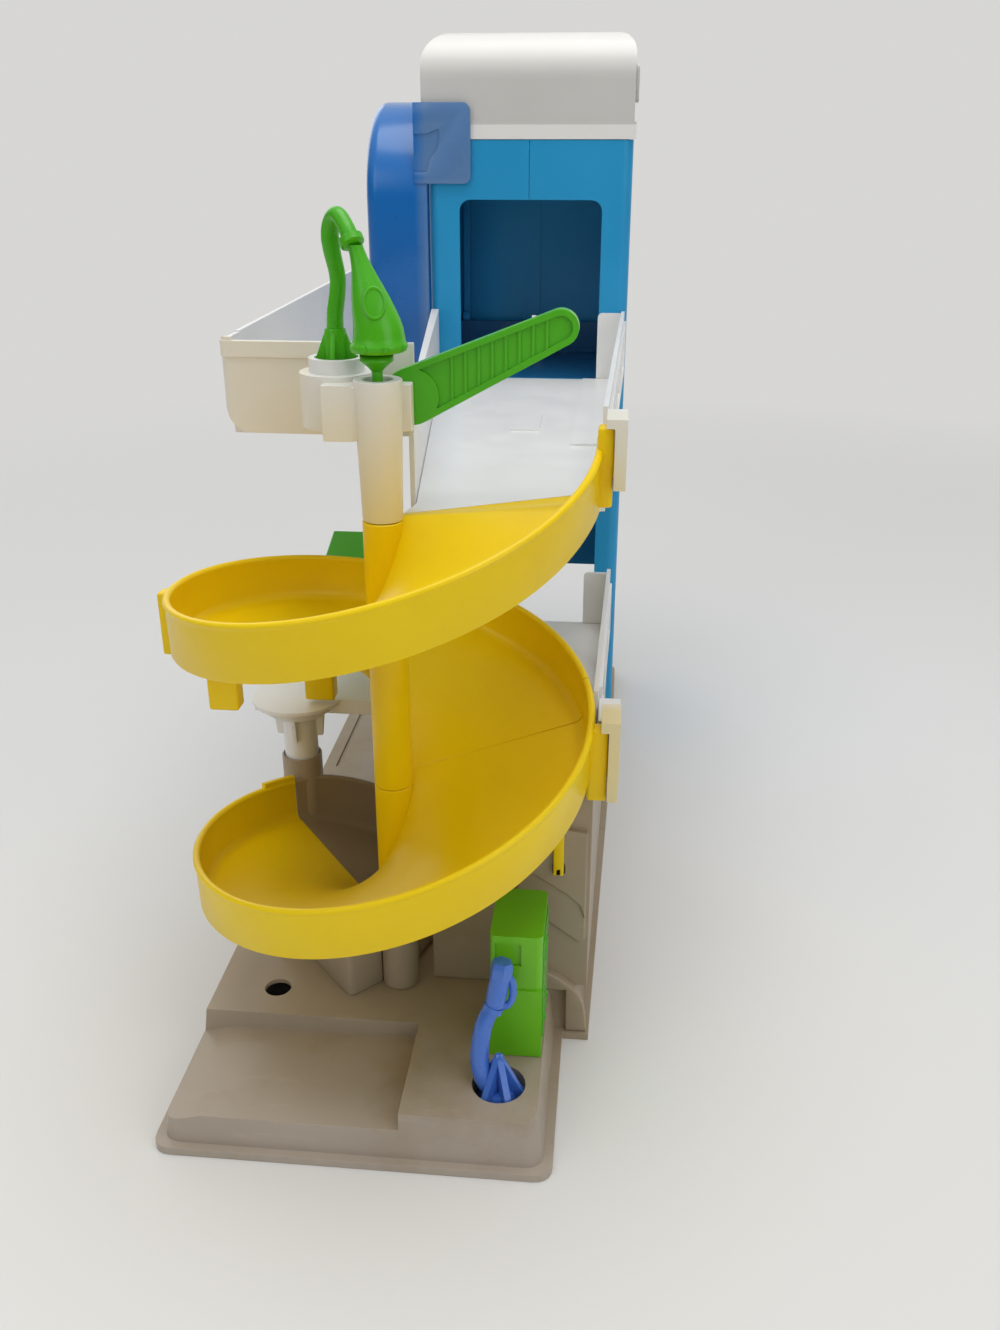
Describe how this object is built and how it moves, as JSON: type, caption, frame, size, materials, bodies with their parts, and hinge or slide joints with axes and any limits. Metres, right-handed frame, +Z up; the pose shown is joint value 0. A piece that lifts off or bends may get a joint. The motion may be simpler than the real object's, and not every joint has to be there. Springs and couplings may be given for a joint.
{
  "type": "toy parking garage with lift",
  "caption": "Toy parking garage: spiral car ramp round a column, decks, a service bay, and a tower with a hand-worked lift, boom gate, fuel pump and wash hose.",
  "frame": {"origin": "axis of the spiral ramp on the ground, at the underside of the base", "axes": "+Z up, +Y runs back from the ramp to the lift tower, +X to the right for someone facing the ramp"},
  "size_m": [0.2102, 0.5718, 0.4858],
  "materials": {
    "yellow_plastic": "glossy moulded plastic",
    "light_blue_plastic": "glossy moulded plastic",
    "dark_blue_plastic": "high gloss moulded plastic",
    "lift_blue_plastic": "glossy moulded plastic",
    "white_plastic": "glossy moulded plastic, slightly yellowed on the shaded side",
    "roof_plastic": "glossy moulded plastic",
    "green_plastic": "glossy moulded plastic",
    "pump_green_plastic": "glossy moulded plastic",
    "nozzle_blue_plastic": "glossy moulded plastic",
    "gray_plastic": "satin moulded plastic with light scuffs",
    "steel": "plain zinc-plated steel"
  },
  "bodies": {
    "garage": {"base_front": "gray_plastic", "base_rear": "gray_plastic", "corner_wall": "gray_plastic", "ramp_landing": "gray_plastic", "column_socket": "gray_plastic", "support_post": "white_plastic", "lower_ramp": "yellow_plastic", "upper_ramp": "yellow_plastic", "column_cap": "white_plastic", "mid_deck": "white_plastic", "mid_right_wall": "white_plastic", "mid_booth": "green_plastic", "upper_deck": "white_plastic", "right_railing": "white_plastic", "service_bay": "white_plastic", "upper_clip": "white_plastic", "lower_clip": "white_plastic", "tower_left_shell": "light_blue_plastic", "tower_right_shell": "light_blue_plastic", "tower_screw_front": "steel", "tower_screw_back": "steel", "roof_cap": "roof_plastic", "roof_plate": "roof_plastic", "arch_cover": "dark_blue_plastic", "lift_rail_left": "light_blue_plastic", "lift_rail_right": "light_blue_plastic", "gate_pin": "green_plastic", "pump_body": "pump_green_plastic", "pump_panel": "green_plastic"},
    "lift": {"lift_platform": "lift_blue_plastic", "lift_carriage": "lift_blue_plastic", "lift_handle": "yellow_plastic", "handle_screw": "steel", "platform_screw_left": "steel", "platform_screw_right": "steel", "brake_spring": "steel"},
    "gate": {"boom_gate": "green_plastic"},
    "filler": {"pump_nozzle": "nozzle_blue_plastic"},
    "wash_set": {"wash_hose": "green_plastic", "wash_nozzle": "green_plastic"}
  },
  "joints": [
    {"name": "lift_travel", "type": "slide", "parent": "garage", "child": "lift", "axis": [0, 0, 1], "range_m": [-0.2462, 0]},
    {"name": "gate_swing", "type": "hinge", "parent": "garage", "child": "gate", "pos_m": [0.0085, 0.0154, 0.3243], "axis": [0, -1, 0], "range_deg": [-23.6, 60]},
    {"name": "filler_turn", "type": "hinge", "parent": "garage", "child": "filler", "pos_m": [0.0577, -0.0697, 0.029], "axis": [0, 0, 1], "range_deg": [0, 120]},
    {"name": "wash_lift", "type": "slide", "parent": "garage", "child": "wash_set", "axis": [0, 0, 1], "range_m": [0, 0.014]}
  ]
}
